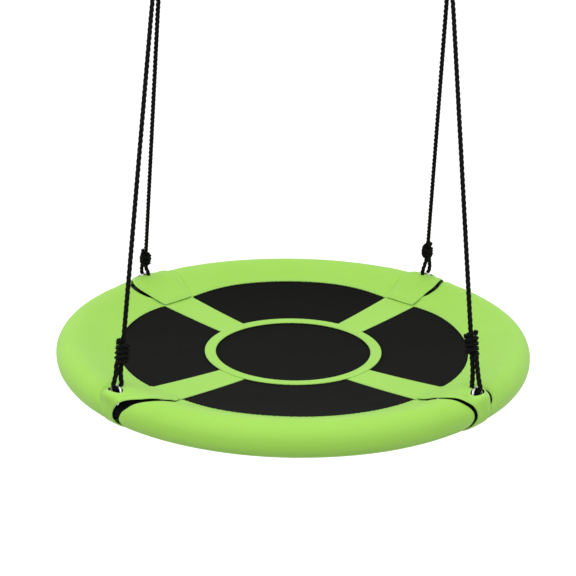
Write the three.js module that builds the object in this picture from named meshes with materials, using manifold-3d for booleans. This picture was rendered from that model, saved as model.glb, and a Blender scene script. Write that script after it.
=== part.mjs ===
// Saucer nest swing: a padded steel ring with a fabric mat, hung by two ropes from two snap hooks.
// Millimetres, +Z up. The origin lies midway between the two hooks, on the line where they bear on
// what they hang from. X runs from hook to hook, and the swing moves to and fro along Y.
import * as THREE from 'three';
import { mergeVertices } from 'three/addons/utils/BufferGeometryUtils.js';
import Module from 'manifold-3d';

const wasm = await Module();
wasm.setup();

// ---- driving dimensions ----
const RING_DROP = 895;          // hook bearing line down to the middle of the steel ring
const RING_RADIUS = 460;        // centre line of the steel ring
const TUBE_RADIUS = 16;
const TUBE_WALL = 1.5;
const FOAM_RADIUS = 31;
const FOAM_BORE = 18.6;
const TUBE_SIDES = 8;           // of the polygons that stand for round sections
const CLOTH = 1.6;              // thickness of a sewn cover
const CLEARANCE = 0.3;          // between faces that touch
const CORNER_ANGLE = 45.7;      // azimuth of each rope corner, from the X axis
const WRAP_HALF = 5;            // half the angle that a corner wrap covers
const SLIT = 1.5;               // angle of the gap beside a corner wrap
const FOAM_GAP_HALF = 4.3;      // half the angle left bare at a corner for its webbing
const SIDE_EDGE = 372;          // radius of the cover's sewn inner edge at the sides
const END_EDGE = 384;           // the same at the front and back
const MAT_RADIUS = 398;
const MAT_SAG = 26;             // the mat's middle below its edge
const MAT_EDGE_HEIGHT = 1;
const CENTRE_RADIUS = 166;      // black disc in the middle
const CENTRE_BAND = 23;
const STRAP_WIDTH = 76;
const ROPE_RADIUS = 5;
const ATTACH_RADIUS = 480.1;    // where a rope pulls on its D ring
const ATTACH_HEIGHT = 34.7;
const HANG_HALF = 288;          // half the distance between the hooks
const HANG_SHIFT = 9.5;         // the unequal loops hang the ring this far to the left of the hooks
const SEIZE_BOTTOM = 744;       // heights above the ring plane
const SEIZE_HEIGHT = 28;
const EYE_HEIGHT = 790;         // middle of the hanging ring's lowest stretch
const HANG_RING_RADIUS = 22;
const HANG_RING_WIRE = 3;
const HOOK_WIRE = 4;
const HOOK_BEND = 16;
const HOOK_STRAIGHT = 40;

// slip: how far the webbing has slid round the steel from the corner, in degrees
const CORNERS = [
  { name: 'front_left', side: 'left', end: 'front', x: -1, y: -1, slip: -1.5 },
  { name: 'front_right', side: 'right', end: 'front', x: 1, y: -1, slip: 0 },
  { name: 'back_right', side: 'right', end: 'back', x: 1, y: 1, slip: 1.2 },
  { name: 'back_left', side: 'left', end: 'back', x: -1, y: 1, slip: 1 },
];
const SIDES = [{ name: 'left', x: -1 }, { name: 'right', x: 1 }];
// Length of rope loop below each hitch or knot; the hitches slide, so no two sit alike.
const LOOP_LENGTH = { front_left: 52, front_right: 72, back_left: 38, back_right: 60 };
const EYE_WIDTH = { left: 11.5, right: 12.2 };   // half, of the back eyes

// ---- materials ----
const paint = (color, roughness, metalness) => new THREE.MeshStandardMaterial({ color, roughness, metalness });
const GREEN_CLOTH = paint(0x9fe05c, 0.75, 0);
const BLACK_CLOTH = paint(0x1b1b1a, 0.85, 0);
const ROPE_FIBRE = paint(0x101010, 0.8, 0);
const BLACK_WEBBING = paint(0x0b1a17, 0.8, 0);
const FOAM = paint(0x3a3c3d, 0.95, 0);
const TUBE_STEEL = paint(0x8d9296, 0.4, 0.9);
const BRIGHT_STEEL = paint(0xc9cdd0, 0.25, 1);

// ---- helpers ----
const swing = new THREE.Group();
const seat = new THREE.Group();   // ring-plane heights: z = 0 is the middle of the steel ring
seat.position.set(-HANG_SHIFT, 0, -RING_DROP);
swing.add(seat);

const radians = THREE.MathUtils.degToRad;

function add(name, geometry, material, parent = seat) {
  const mesh = new THREE.Mesh(geometry, material);
  mesh.name = name;
  parent.add(mesh);
  return mesh;
}

function solid(geometry) {
  const bare = geometry.clone();
  bare.deleteAttribute('normal');
  bare.deleteAttribute('uv');
  const merged = mergeVertices(bare, 1e-4);
  return new wasm.Manifold(new wasm.Mesh({
    numProp: 3,
    vertProperties: new Float32Array(merged.attributes.position.array),
    triVerts: new Uint32Array(merged.index.array),
  }));
}

function surface(manifold) {
  const mesh = manifold.getMesh();
  const geometry = new THREE.BufferGeometry();
  geometry.setAttribute('position', new THREE.BufferAttribute(new Float32Array(mesh.vertProperties), 3));
  geometry.setIndex(new THREE.BufferAttribute(new Uint32Array(mesh.triVerts), 1));
  geometry.computeVertexNormals();
  return geometry;
}

// Arc of the ring's centre line, with a section at each of its azimuths, in degrees anticlockwise.
class RingArc extends THREE.Curve {
  constructor(stations) {
    super();
    this.stations = stations.map(radians);
  }

  angleAt(t) {
    const place = Math.min(Math.max(t, 0), 1) * (this.stations.length - 1);
    const before = Math.min(Math.floor(place), this.stations.length - 2);
    return THREE.MathUtils.lerp(this.stations[before], this.stations[before + 1], place - before);
  }

  getPoint(t) {
    const angle = this.angleAt(t);
    return new THREE.Vector3(Math.cos(angle) * RING_RADIUS, Math.sin(angle) * RING_RADIUS, 0);
  }

  getPointAt(t) { return this.getPoint(t); }

  getTangentAt(t) {
    const angle = this.angleAt(t);
    return new THREE.Vector3(-Math.sin(angle), Math.cos(angle), 0);
  }
}

const evenly = (from, to, steps) => Array.from({ length: steps + 1 }, (_, i) => from + ((to - from) * i) / steps);

// Sweeps an outline of [radius, height] points round the ring, through the given azimuths.
function sweepOutline(outline, holes, stations) {
  const place = ([radius, height]) => new THREE.Vector2(-height, RING_RADIUS - radius);
  const shape = new THREE.Shape(outline.map(place).reverse());
  shape.holes = holes.map((hole) => new THREE.Path(hole.map(place)));
  return new THREE.ExtrudeGeometry(shape, {
    steps: stations.length - 1, bevelEnabled: false, extrudePath: new RingArc(stations),
  });
}

function circle(radius, sides, centreRadius = RING_RADIUS, centreHeight = 0) {
  return Array.from({ length: sides }, (_, i) => {
    const angle = (2 * Math.PI * (i + 0.5)) / sides;
    return [centreRadius + radius * Math.cos(angle), centreHeight + radius * Math.sin(angle)];
  });
}

const hollowArc = (outer, inner, stations) =>
  sweepOutline(circle(outer, TUBE_SIDES), [circle(inner, TUBE_SIDES)], stations);

// Moves each point of an open outline sideways by a distance, to its left for a positive one.
function offsetLine(points, distance) {
  return points.map(([x, y], i) => {
    const [ax, ay] = points[Math.max(i - 1, 0)];
    const [bx, by] = points[Math.min(i + 1, points.length - 1)];
    const length = Math.hypot(bx - ax, by - ay);
    return [x - (distance * (by - ay)) / length, y + (distance * (bx - ax)) / length];
  });
}

// A round rod along a route whose points are also its sections, so tight bends may hold more of them.
class Route extends THREE.CatmullRomCurve3 {
  getPointAt(t) { return this.getPoint(t); }

  getTangentAt(t) { return this.getTangent(t); }
}

function rod(points, radius, sides) {
  const section = new THREE.Shape(circle(radius, sides, 0, 0).map(([x, y]) => new THREE.Vector2(x, y)));
  const route = new Route(points, false, 'centripetal');
  return new THREE.ExtrudeGeometry(section, {
    steps: points.length - 1, bevelEnabled: false, extrudePath: route,
  });
}

function turnTo(mesh, direction, position) {
  mesh.quaternion.setFromUnitVectors(new THREE.Vector3(0, 0, 1), direction);
  mesh.position.copy(position);
  return mesh;
}

function cylinderBetween(radius, low, high, sides) {
  const geometry = new THREE.CylinderGeometry(radius, radius, high - low, sides);
  geometry.rotateX(Math.PI / 2);
  geometry.translate(0, 0, (low + high) / 2);
  return geometry;
}

const azimuthOf = (corner) => {
  const angle = corner.x > 0 ? CORNER_ANGLE : 180 - CORNER_ANGLE;
  return corner.y > 0 ? angle : -angle;
};

function ringPoint(azimuth, radius, height) {
  return new THREE.Vector3(
    Math.cos(radians(azimuth)) * radius, Math.sin(radians(azimuth)) * radius, height,
  );
}

// ---- steel ring: four swaged tubes, each bolted into the next ----
const SPIGOT = { angle: 5, collar: 0.6, radius: TUBE_RADIUS - TUBE_WALL - CLEARANCE };
const BOLT = { radius: 3, hole: 3.4, angle: 2.5, head: 5.4, headHeight: 4, nutHeight: 5, tip: 24 };
const QUARTERS = [
  { tube: 'back_right', start: 0, bolt: 'right' },
  { tube: 'back_left', start: 90, bolt: 'back' },
  { tube: 'front_left', start: 180, bolt: 'left' },
  { tube: 'front_right', start: 270, bolt: 'front' },
];

function boltHole(azimuth, radius, halfHeight) {
  const hole = cylinderBetween(radius, -halfHeight, halfHeight, 8);
  hole.translate(...ringPoint(azimuth, RING_RADIUS, 0).toArray());
  return solid(hole);
}

function frameTube(start) {
  const end = start + 90;
  const bore = TUBE_RADIUS - TUBE_WALL;
  const spigotBore = SPIGOT.radius - TUBE_WALL;
  const gap = 0.05;
  const middle = evenly(start + SPIGOT.angle, end - SPIGOT.angle, 8);
  const body = solid(hollowArc(TUBE_RADIUS, bore, [start + gap, ...middle, end - SPIGOT.collar]));
  const collar = solid(hollowArc(TUBE_RADIUS, spigotBore, [end - SPIGOT.collar - gap, end - gap]));
  const spigot = solid(hollowArc(SPIGOT.radius, spigotBore, [end - SPIGOT.collar, end, end + SPIGOT.angle]));
  return surface(body.add(collar).add(spigot)
    .subtract(boltHole(start + BOLT.angle, BOLT.hole, 30))
    .subtract(boltHole(end + BOLT.angle, BOLT.hole, 30)));
}

for (const { tube, start, bolt } of QUARTERS) {
  add(`frame_tube_${tube}`, frameTube(start), TUBE_STEEL);
  const place = ringPoint(start + BOLT.angle, RING_RADIUS, 0);
  const headLow = TUBE_RADIUS + CLEARANCE;
  const shank = solid(cylinderBetween(BOLT.radius, -BOLT.tip, headLow + 1, 10));
  const head = solid(cylinderBetween(BOLT.head, headLow, headLow + BOLT.headHeight, 6));
  add(`frame_bolt_${bolt}`, surface(shank.add(head)), BRIGHT_STEEL).position.copy(place);
  const nutTop = -TUBE_RADIUS - CLEARANCE;
  const nut = solid(cylinderBetween(BOLT.head, nutTop - BOLT.nutHeight, nutTop, 6));
  const thread = solid(cylinderBetween(BOLT.radius + CLEARANCE, -40, 0, 10));
  add(`frame_nut_${bolt}`, surface(nut.subtract(thread)), BRIGHT_STEEL).position.copy(place);
}

// ---- foam sleeves and rim covers: one between each pair of corners ----
// The cover's outside, from its sewn edge on the mat over the ring to its closing edge underneath.
const coverOutline = (edge) => [
  [edge, 4 + (edge - SIDE_EDGE) * 0.1], [404, 13.5], [426, 22.5], [444, 30], [461, 35.5], [479, 35.5], [491, 27.5],
  [499, 14], [500.5, 1], [497.5, -14], [487, -29], [469, -39], [448, -40], [428, -32.5], [408, -20],
  [392, -8.5],
];

function coverShell(edge, stations) {
  const outside = coverOutline(edge);
  const inside = offsetLine(outside, -CLOTH);
  return sweepOutline([...outside, ...inside.reverse()], [], stations);
}

const PANELS = [
  { name: 'right', azimuth: 0, edge: SIDE_EDGE, half: CORNER_ANGLE },
  { name: 'back', azimuth: 90, edge: END_EDGE, half: 90 - CORNER_ANGLE },
  { name: 'left', azimuth: 180, edge: SIDE_EDGE, half: CORNER_ANGLE },
  { name: 'front', azimuth: 270, edge: END_EDGE, half: 90 - CORNER_ANGLE },
];

for (const { name, azimuth, edge, half } of PANELS) {
  const cover = half - WRAP_HALF - SLIT;
  add(`rim_cover_${name}`, coverShell(edge, evenly(azimuth - cover, azimuth + cover, 8)), GREEN_CLOTH);
  const padded = half - FOAM_GAP_HALF;
  const sleeve = hollowArc(FOAM_RADIUS, FOAM_BORE, evenly(azimuth - padded, azimuth + padded, 9));
  const pocket = boltHole(azimuth + BOLT.angle, 8, TUBE_RADIUS + 10);
  add(`foam_sleeve_${name}`, surface(solid(sleeve).subtract(pocket)), FOAM);
}

// ---- corners: webbing round the steel, a D ring in it, and a green wrap with a slot for the ring ----
const BAR = { distance: 31.5, angle: 23.5, wire: 2.5 };
const D_RING = { half: 13.5, straight: 18.5, lean: 20 };
const WEBBING = { width: 20, thickness: 1.8, slack: 2.1, eyePlay: 1 };
const SLOT = { halfAlong: 22, halfAcross: 19 };

function loopOutline(grow) {
  const bar = [BAR.distance * Math.cos(radians(BAR.angle)), BAR.distance * Math.sin(radians(BAR.angle))];
  const big = TUBE_RADIUS + WEBBING.slack + grow;
  const small = BAR.wire + WEBBING.eyePlay + grow;
  const lean = Math.asin((big - small) / BAR.distance);
  const tangent = Math.PI / 2 - lean;
  const middle = radians(BAR.angle);
  const points = [];
  for (let i = 0; i <= 4; i += 1) {
    const angle = middle - tangent + (2 * tangent * i) / 4;
    points.push(new THREE.Vector2(bar[0] + small * Math.cos(angle), bar[1] + small * Math.sin(angle)));
  }
  for (let i = 0; i <= 12; i += 1) {
    const angle = middle + tangent + ((2 * Math.PI - 2 * tangent) * i) / 12;
    points.push(new THREE.Vector2(big * Math.cos(angle), big * Math.sin(angle)));
  }
  return points;
}

function webbingLoop() {
  const shape = new THREE.Shape(loopOutline(WEBBING.thickness));
  shape.holes = [new THREE.Path(loopOutline(0))];
  const geometry = new THREE.ExtrudeGeometry(shape, { depth: WEBBING.width, bevelEnabled: false });
  geometry.translate(0, 0, -WEBBING.width / 2);
  return geometry.rotateX(Math.PI / 2);
}

function dRing() {
  const { half, straight } = D_RING;
  const bend = 4;
  const path = new THREE.CurvePath();
  const at = (y, z) => new THREE.Vector3(0, y, z);
  path.add(new THREE.LineCurve3(at(-half + bend, 0), at(half - bend, 0)));
  path.add(new THREE.QuadraticBezierCurve3(at(half - bend, 0), at(half, 0), at(half, bend)));
  path.add(new THREE.LineCurve3(at(half, bend), at(half, straight)));
  const knee = 0.5523 * half;
  path.add(new THREE.CubicBezierCurve3(
    at(half, straight), at(half, straight + knee), at(knee, straight + half), at(0, straight + half),
  ));
  path.add(new THREE.CubicBezierCurve3(
    at(0, straight + half), at(-knee, straight + half), at(-half, straight + knee), at(-half, straight),
  ));
  path.add(new THREE.LineCurve3(at(-half, straight), at(-half, bend)));
  path.add(new THREE.QuadraticBezierCurve3(at(-half, bend), at(-half, 0), at(-half + bend, 0)));
  return new THREE.TubeGeometry(path, 24, BAR.wire, 6, true);
}

for (const corner of CORNERS) {
  const middle = azimuthOf(corner);
  const azimuth = middle + corner.slip;
  const place = (geometry, distance = 0, height = 0) => geometry
    .rotateZ(radians(azimuth)).translate(...ringPoint(azimuth, RING_RADIUS + distance, height).toArray());
  add(`webbing_loop_${corner.name}`, place(webbingLoop()), BLACK_WEBBING);
  const barOut = BAR.distance * Math.cos(radians(BAR.angle));
  const barUp = BAR.distance * Math.sin(radians(BAR.angle));
  add(`d_ring_${corner.name}`, place(dRing().rotateY(-radians(D_RING.lean)), barOut, barUp), BRIGHT_STEEL);
  const wrap = solid(coverShell(SIDE_EDGE, evenly(middle - WRAP_HALF, middle + WRAP_HALF, 2)));
  const slot = new THREE.BoxGeometry(2 * SLOT.halfAcross, 2 * SLOT.halfAlong, 40);
  const opening = solid(place(slot, ATTACH_RADIUS - RING_RADIUS, 38));
  add(`corner_wrap_${corner.name}`, surface(wrap.subtract(opening)), GREEN_CLOTH);
}

// ---- mat, centre band and diagonal straps ----
const matHeight = (radius) => MAT_EDGE_HEIGHT - MAT_SAG * (1 - (radius / MAT_RADIUS) ** 2);

function dishedBand(inner, outer, low, high, rings) {
  const radii = evenly(inner, outer, rings);
  const below = radii.map((r) => new THREE.Vector2(r, matHeight(r) + low));
  const above = radii.map((r) => new THREE.Vector2(r, matHeight(r) + high)).reverse();
  const profile = [...below, ...above];
  if (inner > 0) profile.push(below[0].clone());
  return new THREE.LatheGeometry(profile, 32).rotateX(Math.PI / 2);
}

const MAT_THICKNESS = 2;
const APPLIQUE = [MAT_THICKNESS / 2 + 0.8, MAT_THICKNESS / 2 + 2];
add('seat_mat', dishedBand(0, MAT_RADIUS, -MAT_THICKNESS / 2, MAT_THICKNESS / 2, 6), BLACK_CLOTH);
add('centre_band', dishedBand(CENTRE_RADIUS, CENTRE_RADIUS + CENTRE_BAND, ...APPLIQUE, 1), GREEN_CLOTH);

function diagonalStrap() {
  const from = CENTRE_RADIUS + CENTRE_BAND + 1;
  const to = SIDE_EDGE - 6;
  const run = evenly(from, to, 6);
  const below = run.map((r) => new THREE.Vector2(r, matHeight(Math.hypot(r, STRAP_WIDTH / 2)) + APPLIQUE[0]));
  const above = run.map((r) => new THREE.Vector2(r, matHeight(Math.hypot(r, STRAP_WIDTH / 2)) + APPLIQUE[1]));
  const shape = new THREE.Shape([...below, ...above.reverse()]);
  const geometry = new THREE.ExtrudeGeometry(shape, { depth: STRAP_WIDTH, bevelEnabled: false });
  return geometry.translate(0, 0, -STRAP_WIDTH / 2).rotateX(Math.PI / 2);
}

for (const corner of CORNERS) {
  add(`diagonal_strap_${corner.name}`, diagonalStrap().rotateZ(radians(azimuthOf(corner))), GREEN_CLOTH);
}

// ---- ropes: one a side, from the back eye over the hanging ring to the front hitch ----
const HITCH = { height: 42, outer: 15.2 };
const KNOT = { height: 40, outer: 14 };
const BORE = ROPE_RADIUS + CLEARANCE + 0.2;

const hangX = (x) => HANG_SHIFT + x * HANG_HALF;

// Where one leg of a rope pulls, its direction up to the seizing, and the direction that its loop spreads.
function legFrame(corner) {
  const azimuth = azimuthOf(corner) + corner.slip;
  const foot = ringPoint(azimuth, ATTACH_RADIUS, ATTACH_HEIGHT);
  const outwardShift = corner.end === 'front' ? ROPE_RADIUS + 0.3 : -ROPE_RADIUS - 0.3;
  const head = new THREE.Vector3(hangX(corner.x) + corner.x * outwardShift, 0, SEIZE_BOTTOM - 6);
  const standing = corner.end === 'front' ? -5.3 : 0;
  const rise = head.clone().sub(foot).normalize();
  const outward = ringPoint(azimuth, 1, 0);
  const spread = outward.addScaledVector(rise, -outward.dot(rise)).normalize();
  const at = (up, across) => foot.clone().addScaledVector(rise, up).addScaledVector(spread, across);
  const line = head.clone().sub(at(0, standing)).normalize();
  const along = (up) => at(0, standing).addScaledVector(line, up);
  return { at, along, line, head, length: head.distanceTo(at(0, standing)) };
}

// The loop through the D ring, from the end that stops under the knot round to the standing line.
function loopPoints(corner) {
  const { at, along } = legFrame(corner);
  const loop = LOOP_LENGTH[corner.name];
  if (corner.end === 'front') {
    return [at(loop - 1, 5.8), at(loop * 0.6, 6), at(20, 7.6), at(11, 9.2), at(3.6, 6.8), at(0, 0),
      at(3.6, -6.8), at(11, -9.2), at(20, -7.8), along(loop * 0.6), along(loop), along(loop + HITCH.height + 10)];
  }
  const wide = EYE_WIDTH[corner.side];
  return [at(loop - 2, 10.6), at(loop * 0.62, 11.2), at(16, wide), at(5, 8.6), at(0, 0), at(5, -8.6), at(19, -wide),
    at(loop * 0.6, -8.4), at(loop * 0.82, -3.2), along(loop - 1), along(loop + KNOT.height / 2),
    along(loop + KNOT.height + 10)];
}

function ropeRoute(side) {
  const front = CORNERS.find((corner) => corner.side === side && corner.end === 'front');
  const back = CORNERS.find((corner) => corner.side === side && corner.end === 'back');
  const lineUp = (corner) => {
    const { along, length, head } = legFrame(corner);
    const start = LOOP_LENGTH[corner.name] + 60;
    const steps = 12;
    const points = Array.from({ length: steps }, (_, i) => along(start + ((length - start) * i) / steps));
    return [...points, head, head.clone().setZ(SEIZE_BOTTOM + 2), head.clone().setZ(SEIZE_BOTTOM + SEIZE_HEIGHT)];
  };
  const reach = HANG_RING_WIRE + CLEARANCE + ROPE_RADIUS + 0.4;
  const bight = [180, 150, 120, 90, 60, 30, 0].map((angle) => new THREE.Vector3(
    hangX(front.x) + front.x * reach * Math.cos(radians(angle)), 0,
    EYE_HEIGHT + reach * Math.sin(radians(angle)),
  ));
  return [...loopPoints(back), ...lineUp(back), ...bight, ...lineUp(front).reverse(), ...loopPoints(front).reverse()];
}

function lathedKnot(profile) {
  const points = profile.map(([radius, height]) => new THREE.Vector2(radius, height));
  points.push(points[0].clone());
  return new THREE.LatheGeometry(points, 10).rotateX(Math.PI / 2);
}

const hitchProfile = [[BORE, 0], [12.5, 0], [HITCH.outer, 4], [HITCH.outer, 38], [12.5, 42], [BORE, 42]];
const knotProfile = [[BORE + 1.6, 0], [9.6, 0], [12.6, 8], [KNOT.outer, 18], [12.4, 30], [8.6, 40], [BORE, 40], [BORE, 12]];

function seizing() {
  const wall = 1.8;
  const half = ROPE_RADIUS + 0.3;
  const racetrack = (radius) => {
    const path = new THREE.Shape();
    path.absarc(half, 0, radius, -Math.PI / 2, Math.PI / 2, false);
    path.absarc(-half, 0, radius, Math.PI / 2, (3 * Math.PI) / 2, false);
    return path.getPoints(5).slice(0, -1);
  };
  const shape = new THREE.Shape(racetrack(BORE + wall));
  shape.holes = [new THREE.Path(racetrack(BORE))];
  return new THREE.ExtrudeGeometry(shape, { depth: SEIZE_HEIGHT - 8, bevelEnabled: false });
}

for (const { name, x } of SIDES) {
  add(`rope_${name}`, rod(ropeRoute(name), ROPE_RADIUS, 8), ROPE_FIBRE);
  add(`rope_seizing_${name}`, seizing(), ROPE_FIBRE).position.set(hangX(x), 0, SEIZE_BOTTOM);
}
for (const corner of CORNERS) {
  const { along, line } = legFrame(corner);
  const isFront = corner.end === 'front';
  const name = isFront ? `sliding_hitch_${corner.side}` : `eye_knot_${corner.side}`;
  const knot = add(name, lathedKnot(isFront ? hitchProfile : knotProfile), ROPE_FIBRE);
  turnTo(knot, line, along(LOOP_LENGTH[corner.name]));
}

// ---- hanging rings and snap hooks ----
const HOOK_LOW = EYE_HEIGHT + 2 * HANG_RING_RADIUS - HANG_RING_WIRE - HOOK_WIRE - CLEARANCE;
const HINGE_HEIGHT = HOOK_LOW + HOOK_BEND + 4;
const GATE = { radius: 3.4, tongue: 2.4, slot: 3, pin: 1.2, top: HOOK_LOW + HOOK_BEND + HOOK_STRAIGHT - 1 };

// A snap hook in the XZ plane, its gate side at +X.
function hookBody() {
  const points = [];
  points.push(new THREE.Vector3(HOOK_BEND, 0, HINGE_HEIGHT + 3));
  for (let i = 0; i <= 8; i += 1) {
    const angle = -(Math.PI * i) / 8;
    points.push(new THREE.Vector3(HOOK_BEND * Math.cos(angle), 0, HOOK_LOW + HOOK_BEND + HOOK_BEND * Math.sin(angle)));
  }
  for (let i = 0; i <= 8; i += 1) {
    const angle = Math.PI - (Math.PI * i) / 8;
    const centre = HOOK_LOW + HOOK_BEND + HOOK_STRAIGHT;
    points.push(new THREE.Vector3(HOOK_BEND * Math.cos(angle), 0, centre + HOOK_BEND * Math.sin(angle)));
  }
  const body = solid(rod(points, HOOK_WIRE, 8));
  const slot = new THREE.BoxGeometry(20, GATE.slot, 11).translate(HOOK_BEND, 0, HINGE_HEIGHT + 1.5);
  const bore = cylinderBetween(GATE.pin + CLEARANCE, -10, 10, 10).rotateX(Math.PI / 2)
    .translate(HOOK_BEND, 0, HINGE_HEIGHT);
  return surface(body.subtract(solid(slot)).subtract(solid(bore)));
}

function hookGate() {
  const bar = cylinderBetween(GATE.radius, HINGE_HEIGHT + 4.5, GATE.top, 10).translate(HOOK_BEND, 0, 0);
  const tongue = new THREE.BoxGeometry(4.6, GATE.tongue, 9).translate(HOOK_BEND, 0, HINGE_HEIGHT + 1.9);
  const bore = cylinderBetween(GATE.pin + CLEARANCE, -10, 10, 10).rotateX(Math.PI / 2)
    .translate(HOOK_BEND, 0, HINGE_HEIGHT);
  return surface(solid(bar).add(solid(tongue)).subtract(solid(bore)));
}

for (const { name, x } of SIDES) {
  const ring = new THREE.TorusGeometry(HANG_RING_RADIUS, HANG_RING_WIRE, 6, 20).rotateY(Math.PI / 2);
  ring.translate(hangX(x), 0, EYE_HEIGHT + HANG_RING_RADIUS);
  add(`hanging_ring_${name}`, ring, BRIGHT_STEEL);
  const outward = x > 0 ? 0 : Math.PI;
  const place = (geometry) => geometry.rotateZ(outward).translate(hangX(x), 0, 0);
  add(`snap_hook_${name}`, place(hookBody()), BRIGHT_STEEL);
  add(`hook_gate_${name}`, place(hookGate()), BRIGHT_STEEL);
  const pin = cylinderBetween(GATE.pin, -HOOK_WIRE, HOOK_WIRE, 10).rotateX(Math.PI / 2);
  add(`gate_pin_${name}`, place(pin.translate(HOOK_BEND, 0, HINGE_HEIGHT)), TUBE_STEEL);
}

export default swing;
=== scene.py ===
"""Saucer nest swing: a padded green rim on a steel ring, a black mat, and one rope a side up to its hook."""
import math

import bpy
import numpy as np
from mathutils import Matrix, Vector, noise


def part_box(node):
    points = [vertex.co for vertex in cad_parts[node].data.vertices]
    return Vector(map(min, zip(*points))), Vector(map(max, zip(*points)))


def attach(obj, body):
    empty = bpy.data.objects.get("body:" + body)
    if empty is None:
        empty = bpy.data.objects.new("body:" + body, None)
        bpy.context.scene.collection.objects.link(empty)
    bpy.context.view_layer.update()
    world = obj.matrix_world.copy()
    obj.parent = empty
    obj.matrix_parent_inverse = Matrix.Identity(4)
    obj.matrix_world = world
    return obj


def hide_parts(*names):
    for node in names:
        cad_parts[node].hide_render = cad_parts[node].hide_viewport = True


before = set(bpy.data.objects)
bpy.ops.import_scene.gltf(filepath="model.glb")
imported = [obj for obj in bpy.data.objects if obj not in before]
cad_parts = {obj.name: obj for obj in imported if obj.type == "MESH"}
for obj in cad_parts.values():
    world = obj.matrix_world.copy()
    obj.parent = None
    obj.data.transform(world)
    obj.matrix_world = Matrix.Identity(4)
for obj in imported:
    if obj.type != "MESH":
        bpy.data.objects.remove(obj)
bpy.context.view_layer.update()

# ---- places, in metres; heights below are above the middle of the steel ring ----
tube_low, tube_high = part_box("frame_tube_front_left")
RING_LEVEL = (tube_low.z + tube_high.z) / 2
RING_X = (tube_low.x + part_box("frame_tube_front_right")[1].x) / 2
RING_RADIUS = 0.460
TUBE_RADIUS = 0.016
TUBE_WALL = 0.0015
ROPE_RADIUS = 0.0050
HANG_HALF = 0.288
SEIZE_BOTTOM = 0.744
EYE_HEIGHT = 0.790
RING_WIRE = 0.003
HANG_RING_RADIUS = 0.022
ATTACH_RADIUS = 0.4801
ATTACH_HEIGHT = 0.0347
CORNER_ANGLE = 45.7


class Corner:
    """A corner where a rope meets the rim. end is 1 at the back and -1 at the front, side 1 on the right.
    slip is how far the webbing has slid round the steel from the corner, in degrees."""

    def __init__(self, side, end, loop, slip):
        self.side, self.end, self.loop, self.slip = side, end, loop, slip
        self.side_name = "right" if side > 0 else "left"
        self.end_name = "back" if end > 0 else "front"
        self.name = f"{self.end_name}_{self.side_name}"
        self.azimuth = end * (CORNER_ANGLE if side > 0 else 180 - CORNER_ANGLE)
        self.ring_azimuth = self.azimuth + slip
        # turning this way from the corner leads to the front or back panel, and the other way to a side panel
        self.to_end = end * side


CORNERS = [
    Corner(-1, -1, 0.052, -1.5), Corner(1, -1, 0.072, 0), Corner(1, 1, 0.060, 1.2), Corner(-1, 1, 0.038, 1),
]


def ring_point(azimuth, radius, height):
    angle = math.radians(azimuth)
    return Vector((RING_X + math.cos(angle) * radius, math.sin(angle) * radius, RING_LEVEL + height))


def evenly(low, high, steps):
    return [low + (high - low) * i / steps for i in range(steps + 1)]


def smoothstep(x, low=0.0, high=1.0):
    t = min(max((x - low) / (high - low), 0.0), 1.0)
    return t * t * (3 - 2 * t)


# ---- camera ----
CAMERA_DISTANCE = 2.817
CAMERA_ELEVATION = 21.56
CAMERA_AZIMUTH = 2.24
CAMERA_PITCH = -19.18
CAMERA_HEADING = 1.96
CAMERA_ROLL = 0.79
CAMERA_LENS = 82.1


def make_camera():
    camera = bpy.data.objects.new("camera", bpy.data.cameras.new("camera"))
    camera.data.lens = CAMERA_LENS
    camera.data.sensor_width = 36
    bpy.context.scene.collection.objects.link(camera)
    turn = Matrix.Rotation(math.radians(-CAMERA_HEADING), 4, "Z")
    tip = Matrix.Rotation(math.radians(90 + CAMERA_PITCH), 4, "X")
    roll = Matrix.Rotation(math.radians(CAMERA_ROLL), 4, "Z")
    flat = CAMERA_DISTANCE * math.cos(math.radians(CAMERA_ELEVATION))
    place = Vector((
        RING_X - flat * math.sin(math.radians(CAMERA_AZIMUTH)),
        -flat * math.cos(math.radians(CAMERA_AZIMUTH)),
        RING_LEVEL + CAMERA_DISTANCE * math.sin(math.radians(CAMERA_ELEVATION)),
    ))
    camera.matrix_world = Matrix.Translation(place) @ turn @ tip @ roll
    bpy.context.scene.camera = camera


make_camera()


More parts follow.
